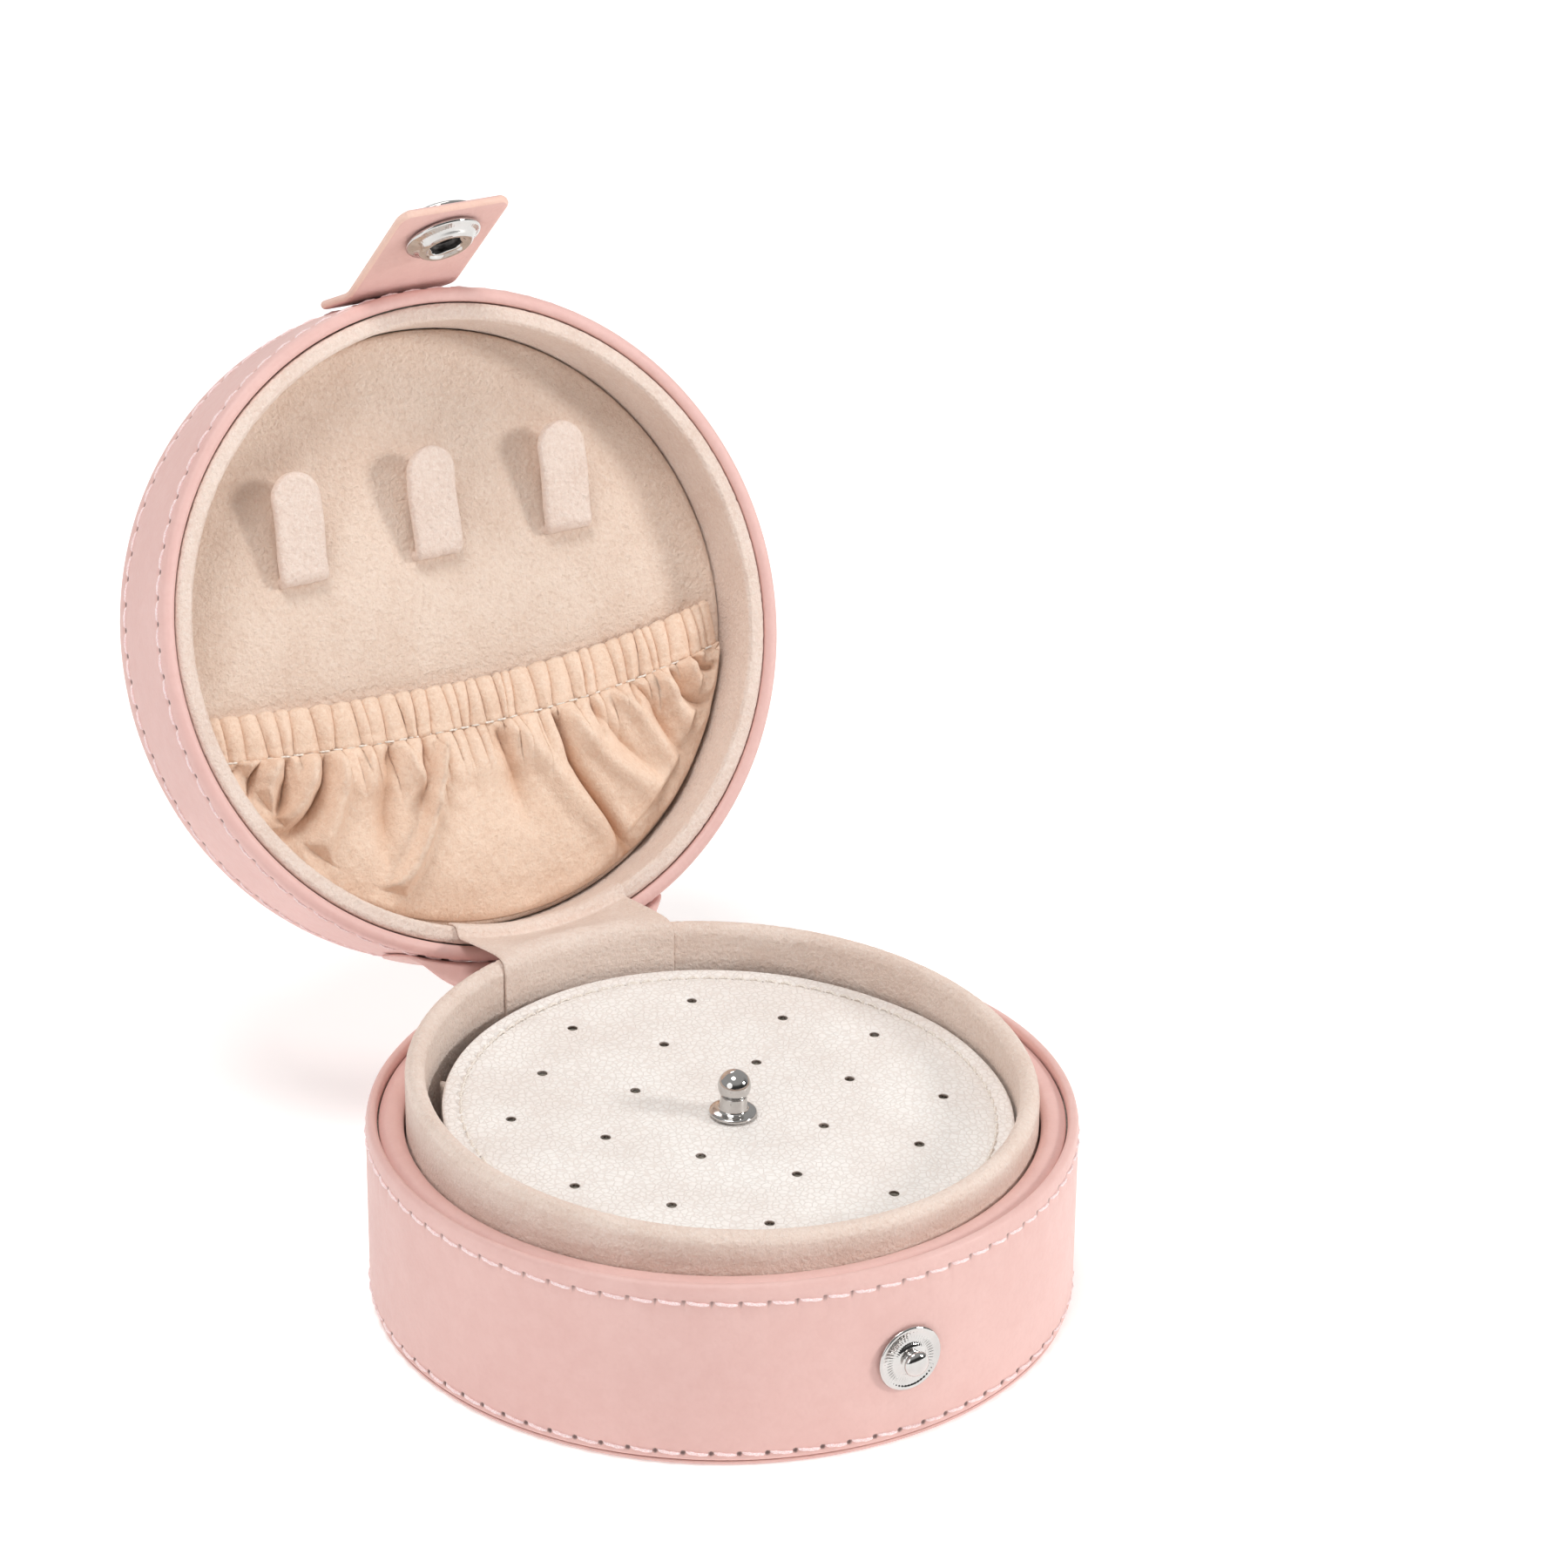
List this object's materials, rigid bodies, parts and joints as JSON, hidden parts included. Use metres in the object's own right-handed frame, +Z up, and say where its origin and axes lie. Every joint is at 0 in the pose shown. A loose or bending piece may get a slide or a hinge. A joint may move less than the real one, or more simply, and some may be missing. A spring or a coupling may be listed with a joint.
{
  "type": "travel jewelry case",
  "caption": "Round travel jewelry case with a padded hinged lid on soft straps, a snap strap, necklace hooks, a gathered pocket and a lift-out earring plate.",
  "frame": {"origin": "centre of the underside, on the surface the case stands on", "axes": "+Z up, -Y towards the front with the snap stud, +Y towards the hinge, +X to the right seen from the front"},
  "size_m": [0.1, 0.1626, 0.1379],
  "materials": {
    "leather": "pale pink grained leatherette",
    "cream_leather": "cream grained leatherette",
    "velvet": "beige short-pile velvet",
    "pocket_velvet": "light beige short-pile velvet",
    "elastic": "flat woven elastic",
    "foam": "soft foam",
    "board": "grey paperboard",
    "metal": "polished nickel plate"
  },
  "bodies": {
    "base": {"base_wall_leather": "leather", "base_wall_board": "board", "base_sleeve_board": "board", "base_bottom_leather": "leather", "base_bottom_board": "board", "base_ledge_leather": "leather", "collar_board": "board", "collar_velvet": "velvet", "floor_pad": "velvet", "divider_long": "velvet", "divider_short": "velvet", "snap_stud": "metal", "snap_stud_rivet": "metal", "hinge_strip_inner": "velvet", "hinge_strap_outer": "leather"},
    "plate": {"plate_leather": "cream_leather", "plate_board": "board", "plate_backing": "velvet", "knob": "metal", "knob_screw": "metal"},
    "lid": {"lid_wall_leather": "leather", "lid_wall_board": "board", "lid_top_leather": "leather", "lid_top_foam": "foam", "lid_top_board": "board", "lid_ring_board": "board", "lid_ring_velvet": "velvet", "lid_panel_velvet": "velvet", "lid_panel_board": "board", "lid_core_foam": "foam", "hook_left": "velvet", "hook_middle": "velvet", "hook_right": "velvet", "pocket": "pocket_velvet", "pocket_hem": "pocket_velvet", "pocket_elastic": "elastic", "strap_root": "leather", "rivet_cap": "metal", "rivet_washer": "metal"},
    "strap": {"strap_flap": "leather", "snap_cap": "metal", "snap_socket": "metal"}
  },
  "joints": [
    {"name": "lid_hinge", "type": "hinge", "parent": "base", "child": "lid", "pos_m": [0, 0.051, 0.0278], "axis": [-1, 0, 0], "range_deg": [-114.4, 0], "deforming": ["hinge_strip_inner", "hinge_strap_outer"]},
    {"name": "strap_flex", "type": "hinge", "parent": "lid", "child": "strap", "pos_m": [0, 0.09621, 0.11924], "axis": [-1, 0, 0], "range_deg": [-7.2, 60], "stiffness_Nm_per_rad": 0.02},
    {"name": "plate_lift", "type": "slide", "parent": "base", "child": "plate", "axis": [0, 0, 1], "range_m": [0, 0.06]}
  ]
}
